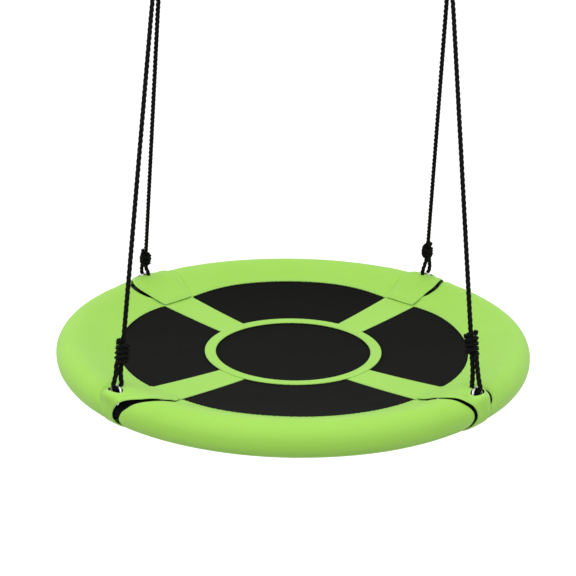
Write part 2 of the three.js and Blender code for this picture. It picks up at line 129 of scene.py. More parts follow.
# ---- materials ----
class Finish:
    """A material being built: its node tree, its shader, and short cuts for the nodes that it uses."""

    def __init__(self, name, roughness, specular=0.5, metallic=0.0, sheen=0.0):
        self.material = bpy.data.materials.new(name)
        self.material.use_nodes = True
        self.tree = self.material.node_tree
        self.shader = self.tree.nodes["Principled BSDF"]
        for socket, value in [("Roughness", roughness), ("Specular IOR Level", specular),
                              ("Metallic", metallic), ("Sheen Weight", sheen)]:
            self.shader.inputs[socket].default_value = value

    def node(self, kind, links=None, **settings):
        node = self.tree.nodes.new(kind)
        for name, value in settings.items():
            if name in node.bl_rna.properties:
                setattr(node, name, value)
            else:
                node.inputs[name.replace("_", " ")].default_value = value
        for name, source in (links or {}).items():
            self.tree.links.new(source, node.inputs[name])
        return node

    def place(self, kind="Object"):
        return self.node("ShaderNodeTexCoord").outputs[kind]

    def noise(self, scale, detail=3.0, kind="Object"):
        noise_node = self.node("ShaderNodeTexNoise", {"Vector": self.place(kind)}, Scale=scale, Detail=detail)
        return noise_node.outputs["Fac"]

    def wave(self, direction, scale, distortion=0.0, turn=0.0):
        vector = self.place("UV")
        if turn:
            mapping = self.node("ShaderNodeMapping", {"Vector": vector})
            mapping.inputs["Rotation"].default_value[2] = math.radians(turn)
            vector = mapping.outputs[0]
        wave = self.node("ShaderNodeTexWave", {"Vector": vector}, Scale=scale, Distortion=distortion,
                         bands_direction=direction)
        return wave.outputs["Fac"]

    def maths(self, operation, a, b):
        node = self.node("ShaderNodeMath", operation=operation)
        for socket, value in zip(node.inputs, (a, b)):
            if isinstance(value, (int, float)):
                socket.default_value = value
            else:
                self.tree.links.new(value, socket)
        return node.outputs[0]

    def spread(self, fac, low, high):
        """fac from 0 to 1 becomes a number from low to high."""
        return self.node("ShaderNodeMapRange", {"Value": fac}, To_Min=low, To_Max=high).outputs[0]

    def blend(self, fac, first, second, mode="MIX"):
        mix = self.node("ShaderNodeMix", data_type="RGBA", blend_type=mode)
        for index, value in ((0, fac), (6, first), (7, second)):
            if isinstance(value, (float, tuple)):
                mix.inputs[index].default_value = value if index == 0 else (*value, 1.0)
            else:
                self.tree.links.new(value, mix.inputs[index])
        return mix.outputs[2]

    def wear(self):
        return self.node("ShaderNodeAttribute", attribute_name="wear").outputs["Fac"]

    def bump(self, height, distance, normal=None):
        links = {"Height": height}
        if normal:
            links["Normal"] = normal
        return self.node("ShaderNodeBump", links, Distance=distance, Strength=1.0).outputs[0]

    def finish(self, colour=None, roughness=None, normal=None):
        for socket, source in (("Base Color", colour), ("Roughness", roughness), ("Normal", normal)):
            if source:
                self.tree.links.new(source, self.shader.inputs[socket])
        return self.material


def woven(finish, yarn):
    """Height of a plain weave with yarns that far apart, in metres."""
    scale = 0.314 / yarn
    warp, weft = finish.wave("X", scale), finish.wave("Y", scale)
    return finish.maths("MAXIMUM", finish.maths("MULTIPLY", warp, 0.92), weft)


def coated_cloth(name, light, deep, worn, roughness, specular):
    """Polyester cloth with a thin coating: fine weave, soft unevenness, and a little rubbing at its edges."""
    cloth = Finish(name, roughness, specular, sheen=0.05)
    weave = woven(cloth, 0.0009)
    patches = cloth.noise(9.0)
    threads = cloth.noise(420.0, 1.0)
    body = cloth.blend(patches, deep, light)
    body = cloth.blend(cloth.spread(weave, 0.10, 0.0), body, deep)
    body = cloth.blend(cloth.maths("MULTIPLY", cloth.wear(), cloth.spread(threads, 0.05, 0.55)), body, worn)
    rough = cloth.maths("ADD", cloth.spread(cloth.noise(30.0), roughness - 0.08, roughness + 0.08),
                        cloth.spread(weave, 0.05, -0.05))
    normal = cloth.bump(cloth.noise(45.0, 4.0), 0.0006)
    normal = cloth.bump(weave, 0.00012, normal)
    return cloth.finish(body, rough, normal)


def rope_fibre():
    rope = Finish("rope_fibre", 0.8, 0.12)
    yarns = rope.wave("DIAGONAL", 150.0, 1.2, turn=18)
    fuzz = rope.noise(900.0, 2.0)
    colour = rope.blend(rope.maths("MULTIPLY", yarns, rope.spread(fuzz, 0.4, 0.8)),
                        (0.0022, 0.0022, 0.0022), (0.0075, 0.0078, 0.0075))
    normal = rope.bump(fuzz, 0.0002, rope.bump(yarns, 0.0005))
    return rope.finish(colour, rope.spread(fuzz, 0.65, 0.9), normal)


def webbing_cloth():
    webbing = Finish("black_webbing", 0.7, 0.3, sheen=0.1)
    ribs = webbing.maths("MULTIPLY", webbing.wave("X", 0.314 / 0.0021), webbing.wave("Y", 0.314 / 0.0013))
    colour = webbing.blend(ribs, (0.002, 0.006, 0.0055), (0.008, 0.022, 0.019))
    return webbing.finish(colour, webbing.spread(ribs, 0.8, 0.6), webbing.bump(ribs, 0.0005))


def sleeve_foam():
    foam = Finish("grey_foam", 0.95, 0.15)
    cells = foam.node("ShaderNodeTexVoronoi", {"Vector": foam.place()}, Scale=650.0).outputs["Distance"]
    share = foam.maths("MULTIPLY", cells, foam.noise(60.0))
    colour = foam.blend(share, (0.02, 0.021, 0.022), (0.055, 0.057, 0.06))
    return foam.finish(colour, foam.spread(cells, 0.85, 1.0), foam.bump(cells, 0.0006))


def zinc_metal(name, light, dull, roughness):
    """Plated steel: faint mottling and fine handling scratches."""
    metal = Finish(name, roughness, 0.5, metallic=1.0)
    mottle = metal.noise(140.0, 5.0)
    stretched = metal.node("ShaderNodeMapping", {"Vector": metal.place()})
    stretched.inputs["Scale"].default_value = (900.0, 900.0, 60.0)
    scratches = metal.node("ShaderNodeTexNoise", {"Vector": stretched.outputs[0]}, Scale=1.0, Detail=2.0)
    scratches = scratches.outputs["Fac"]
    colour = metal.blend(mottle, dull, light)
    rough = metal.maths("ADD", metal.spread(mottle, roughness + 0.1, roughness - 0.08),
                        metal.spread(scratches, -0.06, 0.08))
    return metal.finish(colour, rough, metal.bump(scratches, 0.00004))


def thread(name, colour, shade):
    yarn = Finish(name, 0.5, 0.4, sheen=0.2)
    plies = yarn.noise(1500.0, 1.0)
    normal = yarn.bump(plies, 0.0001)
    return yarn.finish(yarn.blend(plies, shade, colour), yarn.spread(plies, 0.4, 0.65), normal)


GREEN = coated_cloth("green_coated_cloth", (0.385, 0.735, 0.112), (0.355, 0.695, 0.092), (0.47, 0.78, 0.25),
                     roughness=0.55, specular=0.18)
BLACK = coated_cloth("black_mat_cloth", (0.0018, 0.0018, 0.0015), (0.0013, 0.0013, 0.0011),
                     (0.004, 0.004, 0.004),
                     roughness=0.9, specular=0.01)
ROPE = rope_fibre()
WEBBING = webbing_cloth()
FOAM = sleeve_foam()
STEEL_TUBE = zinc_metal("galvanised_tube", (0.50, 0.51, 0.52), (0.36, 0.37, 0.38), 0.45)
BRIGHT = zinc_metal("bright_zinc", (0.78, 0.79, 0.80), (0.60, 0.61, 0.63), 0.24)
GREEN_THREAD = thread("green_thread", (0.34, 0.68, 0.10), (0.22, 0.50, 0.05))


# ---- mesh making ----
def smooth_line(points, step, closed=False):
    """A centripetal Catmull-Rom curve through the points, with a point about every step metres."""
    if closed:
        chain = [points[-1], *points, points[0], points[1]]
    else:
        chain = [2 * points[0] - points[1], *points, 2 * points[-1] - points[-2]]
    line = []
    for a, b, c, d in zip(chain, chain[1:], chain[2:], chain[3:]):
        knots = [0.0]
        for p, q in ((a, b), (b, c), (c, d)):
            knots.append(knots[-1] + max((q - p).length, 1e-7) ** 0.5)
        t0, t1, t2, t3 = knots
        count = max(1, math.ceil((c - b).length / step))
        for i in range(count):
            t = t1 + (t2 - t1) * i / count
            ab = a.lerp(b, (t - t0) / (t1 - t0))
            bc = b.lerp(c, (t - t1) / (t2 - t1))
            cd = c.lerp(d, (t - t2) / (t3 - t2))
            first = ab.lerp(bc, (t - t0) / (t2 - t0))
            second = bc.lerp(cd, (t - t1) / (t3 - t1))
            line.append(first.lerp(second, (t - t1) / (t2 - t1)))
    if not closed:
        line.append(points[-1].copy())
    return line


def line_length(line):
    return sum((b - a).length for a, b in zip(line, line[1:]))


def directions(line, closed=False):
    count = len(line)
    if closed:
        return [(line[(i + 1) % count] - line[i - 1]).normalized() for i in range(count)]
    return [(line[min(i + 1, count - 1)] - line[max(i - 1, 0)]).normalized() for i in range(count)]


def carried_normals(line):
    """A direction across the line at each point, carried along it without twisting."""
    along = directions(line)
    helper = Vector((0, 1, 0)) if abs(along[0].y) < 0.9 else Vector((1, 0, 0))
    normal = helper.cross(along[0]).normalized()
    normals = [normal]
    for before, after in zip(along, along[1:]):
        normal = before.rotation_difference(after) @ normal
        normal = (normal - after * normal.dot(after)).normalized()
        normals.append(normal)
    return normals


class Form:
    """Points, faces and unrolled coordinates of one piece while it is put together."""

    def __init__(self):
        self.points, self.faces, self.unrolled = [], [], []

    def face(self, corners, unrolled):
        self.faces.append(corners)
        self.unrolled.append(unrolled)

    def tube(self, line, radius, sides, normals=None, closed=False, squeeze=1.0):
        """A round rod along a line. radius is a number or a list; normals fix where its round starts."""
        along = directions(line, closed)
        normals = normals or carried_normals(line)
        start, travelled = len(self.points), [0.0]
        for i, (point, ahead, normal) in enumerate(zip(line, along, normals)):
            normal = (normal - ahead * normal.dot(ahead)).normalized()
            other = ahead.cross(normal)
            size = radius[i] if isinstance(radius, list) else radius
            for k in range(sides):
                angle = 2 * math.pi * k / sides
                across = normal * math.cos(angle) + other * math.sin(angle) * squeeze
                self.points.append(point + across * size)
            if i:
                travelled.append(travelled[-1] + (point - line[i - 1]).length)
        last = radius[0] if isinstance(radius, list) else radius
        around = [2 * math.pi * last * k / sides for k in range(sides + 1)]
        sections = len(line)
        if closed:
            travelled.append(travelled[-1] + (line[0] - line[-1]).length)
        for i in range(sections if closed else sections - 1):
            low, high = start + i * sides, start + ((i + 1) % sections) * sides
            for k in range(sides):
                n = (k + 1) % sides
                self.face([low + k, low + n, high + n, high + k],
                          [(travelled[i], around[k]), (travelled[i], around[k + 1]),
                           (travelled[i + 1], around[k + 1]), (travelled[i + 1], around[k])])
        if not closed:
            ends = list(range(sides))
            self.face([start + k for k in reversed(ends)], [(0.0, around[k]) for k in reversed(ends)])
            high = start + (sections - 1) * sides
            self.face([high + k for k in ends], [(travelled[-1], around[k]) for k in ends])
        return self

    def piece(self, name, material, sharp=50, wear=None):
        mesh = bpy.data.meshes.new(name)
        mesh.from_pydata([tuple(p) for p in self.points], [], self.faces)
        layer = mesh.uv_layers.new(name="cloth")
        layer.data.foreach_set("uv", [x for face in self.unrolled for uv in face for x in uv])
        if wear is not None:
            mesh.attributes.new("wear", "FLOAT", "POINT").data.foreach_set("value", wear)
        mesh.shade_smooth()
        mesh.set_sharp_from_angle(angle=math.radians(sharp))
        mesh.materials.append(material)
        made = bpy.data.objects.new(name, mesh)
        bpy.context.scene.collection.objects.link(made)
        return made


def skin(name, across, down, place, flat, thickness, material, outside=1, ring=False, hole=None):
    """A sheet of cloth with a real thickness.

    place(u, v) is its outer face, and flat(u, v) the cut cloth's place. hole(u, v) gives how far a point is
    from a hole's middle, 1 at its edge, and the point on the edge nearest it.
    """
    columns, rows = len(across), len(down)
    spots = [[(u, v) for u in across] for v in down]
    cells = [(i, j) for i in range(rows - 1) for j in range(columns if ring else columns - 1)]
    if hole:
        def middle(i, j):
            (u0, v0), (u1, v1) = spots[i][j], spots[i + 1][j + 1]
            return (u0 + u1) / 2, (v0 + v1) / 2

        cut = {cell for cell in cells if hole(*middle(*cell))[0] < 1}
        cells = [cell for cell in cells if cell not in cut]
        touched = {(i + a, j + b) for i, j in cut for a in (0, 1) for b in (0, 1)}
        kept = {(i + a, j + b) for i, j in cells for a in (0, 1) for b in (0, 1)}
        for i, j in touched & kept:
            spots[i][j] = hole(*spots[i][j])[1]
    outer = np.array([[place(*spot) for spot in row] for row in spots])
    if ring:
        sideways = np.roll(outer, -1, axis=1) - np.roll(outer, 1, axis=1)
    else:
        sideways = np.gradient(outer, axis=1)
    normals = np.cross(sideways, np.gradient(outer, axis=0)) * outside
    normals /= np.linalg.norm(normals, axis=2, keepdims=True)
    inner = outer - normals * thickness
    form = Form()
    form.points = [Vector(p) for p in np.concatenate([outer.reshape(-1, 3), inner.reshape(-1, 3)])]
    lower = rows * columns
    unrolled = {}
    for i in range(rows):
        for j in range(columns):
            unrolled[i, j] = flat(*spots[i][j])
        if ring:
            unrolled[i, columns] = flat(across[0] + ring, down[i])
    edges = {}
    for i, j in cells:
        corners = [(i, j), (i, j + 1), (i + 1, j + 1), (i + 1, j)]
        if outside < 0:
            corners.reverse()
        face = [a * columns + b % columns for a, b in corners]
        uvs = [unrolled[c] for c in corners]
        form.face(face, uvs)
        form.face([k + lower for k in reversed(face)], list(reversed(uvs)))
        for k in range(4):
            edges[face[k], face[(k + 1) % 4]] = (uvs[k], uvs[(k + 1) % 4])
    rim = [edge for edge in edges if (edge[1], edge[0]) not in edges]
    for a, b in rim:
        first, second = edges[a, b]
        form.face([b, a, a + lower, b + lower], [second, first, first, second])
    places = {index: spot for a, b in rim for index, spot in ((a, form.points[a]), (b, form.points[b]))}
    near = kd_tree(list(places.values()))
    wear = [max(0.0, 1 - near.find(p)[2] / 0.009) for p in form.points]
    used = sorted({k for face in form.faces for k in face})
    renumber = {old: new for new, old in enumerate(used)}
    form.points = [form.points[k] for k in used]
    form.faces = [[renumber[k] for k in face] for face in form.faces]
    return form.piece(name, material, wear=[wear[k] for k in used])


def kd_tree(points):
    from mathutils.kdtree import KDTree
    tree = KDTree(len(points))
    for index, point in enumerate(points):
        tree.insert(point, index)
    tree.balance()
    return tree


def repeat_tree(name, inputs):
    tree = bpy.data.node_groups.new(name, "GeometryNodeTree")
    tree.interface.new_socket("Geometry", in_out="INPUT", socket_type="NodeSocketGeometry")
    for label, kind in inputs:
        tree.interface.new_socket(label, in_out="INPUT", socket_type=kind)
    tree.interface.new_socket("Geometry", in_out="OUTPUT", socket_type="NodeSocketGeometry")
    return tree


def chain(tree, *links):
    for source, out, target, into in links:
        tree.links.new(source.outputs[out], target.inputs[into])


def run_tree(made, tree, values):
    """Runs a node tree on an object, and leaves the result as the object's plain mesh."""
    modifier = made.modifiers.new(tree.name, "NODES")
    modifier.node_group = tree
    for item in tree.interface.items_tree:
        if item.item_type == "SOCKET" and item.in_out == "INPUT" and item.name in values:
            modifier[item.identifier] = values[item.name]
    bpy.context.view_layer.update()
    mesh = bpy.data.meshes.new_from_object(made.evaluated_get(bpy.context.evaluated_depsgraph_get()))
    made.modifiers.clear()
    made.data = mesh
    return made


def stitch_tree():
    """Puts one small rounded stitch at every pitch along the lines that it is given."""
    tree = repeat_tree("stitches", [
        ("Pitch", "NodeSocketFloat"), ("Stitch Length", "NodeSocketFloat"),
        ("Thread Thickness", "NodeSocketFloat"), ("Thread", "NodeSocketMaterial"),
    ])
    new = tree.nodes.new
    given, result = new("NodeGroupInput"), new("NodeGroupOutput")
    curve, spots = new("GeometryNodeMeshToCurve"), new("GeometryNodeCurveToPoints")
    spots.mode = "LENGTH"
    ball, shape = new("GeometryNodeMeshUVSphere"), new("GeometryNodeTransform")
    size = new("ShaderNodeCombineXYZ")
    ball.inputs["Segments"].default_value = 6
    ball.inputs["Rings"].default_value = 4
    ball.inputs["Radius"].default_value = 0.5
    copies, real = new("GeometryNodeInstanceOnPoints"), new("GeometryNodeRealizeInstances")
    painted = new("GeometryNodeSetMaterial")
    chain(tree, (given, "Geometry", curve, "Mesh"), (curve, "Curve", spots, "Curve"),
          (given, "Pitch", spots, "Length"), (ball, "Mesh", shape, "Geometry"),
          (given, "Thread Thickness", size, "X"), (given, "Thread Thickness", size, "Y"),
          (given, "Stitch Length", size, "Z"), (size, "Vector", shape, "Scale"),
          (spots, "Points", copies, "Points"), (spots, "Rotation", copies, "Rotation"),
          (shape, "Geometry", copies, "Instance"), (copies, "Instances", real, "Geometry"),
          (real, "Geometry", painted, "Geometry"), (given, "Thread", painted, "Material"),
          (painted, "Geometry", result, "Geometry"))
    return tree


STITCH_TREE = stitch_tree()


def stitching(name, rows, material, pitch=0.0045, length=0.0034, thickness=0.0011):
    """Rows of stitches along lines that lie on the cloth."""
    mesh = bpy.data.meshes.new(name)
    points, edges = [], []
    for row in rows:
        start = len(points)
        points.extend(tuple(p) for p in row)
        edges.extend((k, k + 1) for k in range(start, len(points) - 1))
    mesh.from_pydata(points, edges, [])
    made = bpy.data.objects.new(name, mesh)
    bpy.context.scene.collection.objects.link(made)
    values = {"Pitch": pitch, "Stitch Length": length, "Thread Thickness": thickness, "Thread": material}
    return run_tree(made, STITCH_TREE, values)


def settle(piece, body, slot, *nodes):
    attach(piece, body)
    if nodes:
        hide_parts(*nodes)
    return piece


# ---- ropes: one a side, from the back eye knot over the hanging ring to the front hitch ----
STRAND_RADIUS = 0.00244
STRAND_ORBIT = 0.00256
STRAND_PITCH = 0.034
HITCH_TURNS = 4
KNOT_TURNS = 3


class Leg:
    """One leg of a rope: where it pulls on its D ring, and the line up to the seizing."""

    def __init__(self, corner):
        self.loop, self.wide = corner.loop, 0.013 if corner.side > 0 else 0.0115
        foot = ring_point(corner.ring_azimuth, ATTACH_RADIUS, ATTACH_HEIGHT)
        shift = -corner.end * (ROPE_RADIUS + 0.0003)
        self.head = Vector((corner.side * (HANG_HALF + shift), 0, RING_LEVEL + SEIZE_BOTTOM - 0.006))
        self.foot = foot
        self.standing = -0.0053 if corner.end < 0 else 0.0
        self.rise = (self.head - foot).normalized()
        outward = ring_point(corner.ring_azimuth, 1, 0) - ring_point(0, 0, 0)
        self.spread = (outward - self.rise * outward.dot(self.rise)).normalized()
        self.line = (self.head - self.at(0, self.standing)).normalized()
        self.length = (self.head - self.at(0, self.standing)).length

    def at(self, up, across):
        return self.foot + self.rise * up + self.spread * across

    def along(self, up):
        return self.at(0, self.standing) + self.line * up

    def turns(self, low, high, count, radius, start=0.0):
        """Turns round the standing line, from a height to another; radius is a function of the share done."""
        first = (self.spread - self.line * self.spread.dot(self.line)).normalized()
        second = self.line.cross(first)
        points = []
        for i in range(12 * count + 1):
            share = i / (12 * count)
            angle = 2 * math.pi * count * share + start
            out = first * math.cos(angle) + second * math.sin(angle)
            points.append(self.along(low + (high - low) * share) + out * radius(share))
        return points


def front_end(leg):
    """Down the standing line through the D ring, up again, turns round the standing line, and a tail."""
    loop, at, along = leg.loop, leg.at, leg.along
    down = [along(loop + 0.052), along(loop), along(loop * 0.6), at(0.020, -0.0078), at(0.011, -0.0092),
            at(0.0036, -0.0068), at(0, 0), at(0.0036, 0.0068), at(0.011, 0.0092), at(0.020, 0.0076),
            at(loop * 0.6, 0.0058)]
    coil = leg.turns(loop + 0.0015, loop + 0.0400, HITCH_TURNS, lambda share: 0.0101)
    tail = coil[-1] + leg.spread * 0.003 + leg.line * 0.006
    return down + coil + [tail]


def back_end(leg):
    """From the tail down three turns round the standing line, round the eye, and up the standing line."""
    loop, at, along = leg.loop, leg.at, leg.along
    coil = leg.turns(loop + 0.036, loop + 0.005, KNOT_TURNS,
                     lambda share: 0.0075 + 0.0022 * math.sin(math.pi * share))
    tail = coil[0] + leg.spread * 0.005 + leg.line * 0.006
    eye = [at(loop * 0.62, 0.0112), at(0.016, leg.wide), at(0.005, 0.0086), at(0, 0), at(0.005, -0.0086),
           at(0.019, -leg.wide), at(loop * 0.6, -0.0084), at(loop * 0.82, -0.0032), along(loop - 0.001),
           along(loop + 0.020), along(loop + 0.050)]
    return [tail] + coil + eye


def line_up(leg):
    start = leg.loop + 0.060
    points = [leg.along(start + (leg.length - start) * i / 12) for i in range(12)]
    seized = [Vector((leg.head.x, 0, RING_LEVEL + SEIZE_BOTTOM + rise)) for rise in (0.002, 0.028)]
    return [*points, leg.head, *seized]


def rope_route(side):
    back = Leg(next(c for c in CORNERS if c.side == side and c.end > 0))
    front = Leg(next(c for c in CORNERS if c.side == side and c.end < 0))
    reach = RING_WIRE + 0.0003 + ROPE_RADIUS + 0.0004
    bight = []
    for angle in range(180, -1, -30):
        turn = math.radians(angle)
        bight.append(Vector((side * (HANG_HALF + reach * math.cos(turn)), 0,
                             RING_LEVEL + EYE_HEIGHT + reach * math.sin(turn))))
    return [*back_end(back), *line_up(back), *bight, *reversed(line_up(front)), *front_end(front)]


def laid_rope(name, line):
    """Three strands twisted round the rope's line."""
    form = Form()
    normals = carried_normals(line)
    along = directions(line)
    travelled = [0.0]
    for a, b in zip(line, line[1:]):
        travelled.append(travelled[-1] + (b - a).length)
    for strand in range(3):
        points, outs = [], []
        for point, normal, ahead, way in zip(line, normals, along, travelled):
            angle = 2 * math.pi * (way / STRAND_PITCH + strand / 3)
            out = normal * math.cos(angle) + ahead.cross(normal) * math.sin(angle)
            points.append(point + out * STRAND_ORBIT)
            outs.append(out)
        near_end = [min(way, travelled[-1] - way) for way in travelled]
        radius = [STRAND_RADIUS * (0.55 + 0.45 * smoothstep(way, 0, 0.002)) for way in near_end]
        form.tube(points, radius, 8, outs)
    return form.piece(name, ROPE, sharp=80)


def make_rope(side):
    side_name = "right" if side > 0 else "left"
    line = smooth_line(rope_route(side), 0.003)
    rope = laid_rope(f"laid_rope_{side_name}", line)
    settle(rope, f"{side_name}_ropes", "rope", f"rope_{side_name}", f"sliding_hitch_{side_name}",
           f"eye_knot_{side_name}")
    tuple(line[0])
    round(line_length(line), 3)


for rope_side in (-1, 1):
    make_rope(rope_side)


# ---- rim: cloth covers over foam over a steel ring ----
CLOTH = 0.0015
RIM_OUTLINE = [
    (372, 3.2), (386, 6.4), (404, 13), (426, 22), (444, 29.7), (461, 35.3), (478, 35.2), (491, 27.2),
    (499, 14),
    (500.5, 1.5), (497.5, -14), (487, -29), (469, -39), (448, -40), (428, -32.5), (408, -20), (392, -9),
]
SIDE_EDGE = 0.372
SEAM_PLACE = 0.63
SLOT_RADIUS = 0.4815
SLOT_ALONG = 0.0185
SLOT_ACROSS = 0.0085
MAT_RADIUS = 0.395
MAT_SAG = 0.0265
MAT_SAG_RADIUS = 0.398
MAT_EDGE_HEIGHT = 0.001
MAT_END_RISE = 0.003
MAT_CORNER_DIP = 0.004
CORNER_SPREAD = 15
EDGE_AT_ENDS = 0.391
EDGE_AT_SIDES = 0.3715
EDGE_AT_CORNERS = 0.369


class RimSection:
    """The rim's cross-section: radius, height and outward direction at a share s of the way round its cloth,
    from the sewn edge on the mat (0), over the top and down the outside, to the edge underneath (1)."""

    def __init__(self):
        line = smooth_line([Vector((r / 1000, z / 1000, 0)) for r, z in RIM_OUTLINE], 0.001)
        steps = np.array([0.0] + [(b - a).length for a, b in zip(line, line[1:])])
        self.length = float(steps.sum())
        self.share = np.cumsum(steps) / self.length
        self.radius = np.array([p.x for p in line])
        self.height = np.array([p.y for p in line])
        ahead_r, ahead_z = np.gradient(self.radius), np.gradient(self.height)
        size = np.hypot(ahead_r, ahead_z)
        self.out_r, self.out_z = -ahead_z / size, ahead_r / size

    def at(self, s):
        rows = (self.radius, self.height, self.out_r, self.out_z)
        return [float(np.interp(s, self.share, row)) for row in rows]


SECTION = RimSection()
SLOT_PLACE = min(evenly(0.25, 0.5, 250), key=lambda s: abs(SECTION.at(s)[0] - SLOT_RADIUS))


def curve_at(points, s):
    """A smooth curve through (place, value) points."""
    if s <= points[0][0]:
        return points[0][1]
    for i in range(len(points) - 1):
        (s0, v0), (s1, v1) = points[i], points[i + 1]
        if s <= s1:
            before = points[i - 1] if i else points[i]
            after = points[i + 2] if i + 2 < len(points) else points[i + 1]
            slope0 = (v1 - before[1]) / (s1 - before[0])
            slope1 = (after[1] - v0) / (after[0] - s0)
            t, width = (s - s0) / (s1 - s0), s1 - s0
            return ((2 * t**3 - 3 * t**2 + 1) * v0 + (t**3 - 2 * t**2 + t) * width * slope0
                    + (3 * t**2 - 2 * t**3) * v1 + (t**3 - t**2) * width * slope1)
    return points[-1][1]


# How far each corner wrap reaches from its corner, in degrees, by place on the section: (place, degrees).
WRAP_REACH = {
    "front_left": {
        "end": [(0, 6.4), (0.15, 9.6), (0.28, 9.9), (0.36, 7.0), (0.44, 2.2), (0.54, -0.6),
                (0.66, -0.4), (0.75, 1.8), (1, 3)],
        "side": [(0, 6.2), (0.15, 6.4), (0.28, 5.8), (0.37, 4.2), (0.45, 3.8), (0.54, 4.3),
                 (0.66, 4.4), (1, 5)],
    },
    "front_right": {
        "end": [(0, 6.2), (0.15, 7.4), (0.30, 7.7), (0.40, 5.4), (0.48, 2.9), (0.56, 1.9),
                (0.66, 2.9), (0.74, 4.8), (1, 5)],
        "side": [(0, 6.1), (0.15, 6.2), (0.28, 4.9), (0.36, 2.9), (0.45, 2.3), (0.54, 2.4),
                 (0.66, 3), (0.75, 4.4), (1, 4.5)],
    },
    "back_right": {
        "end": [(0, 6.2), (0.15, 6.2), (0.32, 5.9), (0.42, 4.6), (0.54, 3), (0.75, 4.2), (1, 4.5)],
        "side": [(0, 5.6), (0.15, 5.7), (0.25, 6.0), (0.33, 5.2), (0.42, 4.2), (0.54, 3),
                 (0.75, 4.2), (1, 4.5)],
    },
    "back_left": {
        "end": [(0, 6.2), (0.15, 7.2), (0.25, 7.4), (0.33, 6.4), (0.42, 4.8), (0.54, 3), (0.75, 4.2),
                (1, 4.5)],
        "side": [(0, 6.2), (0.15, 7.7), (0.25, 8.4), (0.33, 7.4), (0.42, 4.8), (0.54, 3.5),
                 (0.75, 4.3), (1, 4.5)],
    },
}
# The open slit between a wrap and the next cover, in degrees.
SLIT = {
    "front_left": {
        "end": [(0, 0), (0.10, 0.1), (0.20, 0.5), (0.30, 0.8), (0.38, 1.3), (0.46, 2.2), (0.54, 1.9),
                (0.63, 0.9), (0.7, 0.4), (1, 0.4)],
        "side": [(0, 0), (0.34, 0), (0.38, 1.3), (0.46, 1.4), (0.53, 0.2), (1, 0.3)],
    },
    "front_right": {
        "end": [(0, 0), (0.08, 0), (0.14, 0.35), (0.30, 0.45), (0.45, 0.5), (0.60, 0.45), (1, 0.4)],
        "side": [(0, 0), (0.34, 0), (0.39, 1.8), (0.48, 2.0), (0.56, 0.3), (1, 0.3)],
    },
    "back_right": {
        "end": [(0, 0), (0.27, 0), (0.34, 0.4), (0.54, 0.4), (1, 0.4)],
        "side": [(0, 0), (0.10, 0), (0.18, 0.55), (0.36, 0.6), (0.54, 0.4), (1, 0.4)],
    },
    "back_left": {
        "end": [(0, 0), (0.27, 0), (0.34, 0.5), (0.54, 0.4), (1, 0.4)],
        "side": [(0, 0), (0.10, 0.05), (0.18, 0.6), (0.30, 0.9), (0.42, 0.7), (0.54, 0.4), (1, 0.4)],
    },
}
TUCK = 0.7
# How far each wrap stands up outside its D ring.
HUMP = {"front_left": 0.015, "front_right": 0.0065, "back_right": 0.0075, "back_left": 0.0075}


def cover_end(corner, way, s):
    """How far from the corner a cover ends, in degrees, tucked under the wrap where there is no slit."""
    slit = max(0.0, curve_at(SLIT[corner.name][way], s))
    return curve_at(WRAP_REACH[corner.name][way], s) + slit - TUCK * (1 - smoothstep(slit, 0, 0.25)), slit


def from_corner(azimuth):
    """Degrees to the nearest corner."""
    return min(abs((azimuth - c.azimuth + 180) % 360 - 180) for c in CORNERS)


def mat_height(azimuth, radius):
    rise = MAT_END_RISE * math.sin(math.radians(azimuth)) ** 2
    rise -= MAT_CORNER_DIP * math.exp(-((from_corner(azimuth) / CORNER_SPREAD) ** 2))
    return MAT_EDGE_HEIGHT - MAT_SAG * (1 - (radius / MAT_SAG_RADIUS) ** 2) + rise * (radius / 0.39) ** 6


def edge_radius(azimuth):
    """Where the cover is sewn to the mat: pulled in at the corners, and further out at the back and front."""
    at_end = math.sin(math.radians(azimuth)) ** 2
    middle = EDGE_AT_ENDS * at_end + EDGE_AT_SIDES * (1 - at_end)
    return middle - (middle - EDGE_AT_CORNERS) * math.exp(-((from_corner(azimuth) / CORNER_SPREAD) ** 2))


def rim_point(azimuth, s, lift):
    radius, height, out_r, out_z = SECTION.at(s)
    near_edge = max(0.0, 1 - s / 0.24) ** 1.6
    edge = edge_radius(azimuth)
    radius += (edge - SIDE_EDGE) * near_edge
    height += mat_height(azimuth, edge) * near_edge
    return ring_point(azimuth, radius + out_r * lift, height + out_z * lift)


def drape(azimuth, s, from_end, seed):
    """How far the cloth stands off the plain section: swells, pulls near a corner, gathers at its edge."""
    turn = math.radians(azimuth)
    around = Vector((math.cos(turn), math.sin(turn), 0)) * 2.2
    swell = 0.0013 * noise.noise(around + Vector((0, 0, s * 3.5 + seed)))
    pull = 0.0011 * math.sin(from_end / 0.0105 + s * 16 + seed) * math.exp(-from_end / 0.045)
    pull *= smoothstep(s, 0.04, 0.14) * (1 - smoothstep(s, 0.42, 0.56))
    metres = turn * RING_RADIUS
    ripple = math.sin(metres / 0.0019 + 2.5 * noise.noise(around * 9))
    gather = 0.00055 * ripple * math.exp(-s * SECTION.length / 0.012)
    groove = -0.0011 * math.exp(-(((s - SEAM_PLACE) * SECTION.length / 0.0022) ** 2))
    return swell + pull + gather + groove


def rim_rows():
    """Places across the rim for the rows of its cloth, closer together at the edges and at the outer seam."""
    rows = evenly(0, 1, 66)
    rows += [0.004, 0.009, 0.991] + [SEAM_PLACE + k * 0.004 for k in (-2, -1, 0, 1, 2)]
    return sorted(rows)


def packed_ends(steps, share=0.65):
    """Places from 0 to 1 that lie closer together at both ends."""
    return [t + (0.5 - 0.5 * math.cos(math.pi * t) - t) * share for t in evenly(0, 1, steps)]


PANELS = {"right": 0, "back": 90, "left": 180, "front": 270}


def corner_named(name):
    return next(c for c in CORNERS if c.name == name)


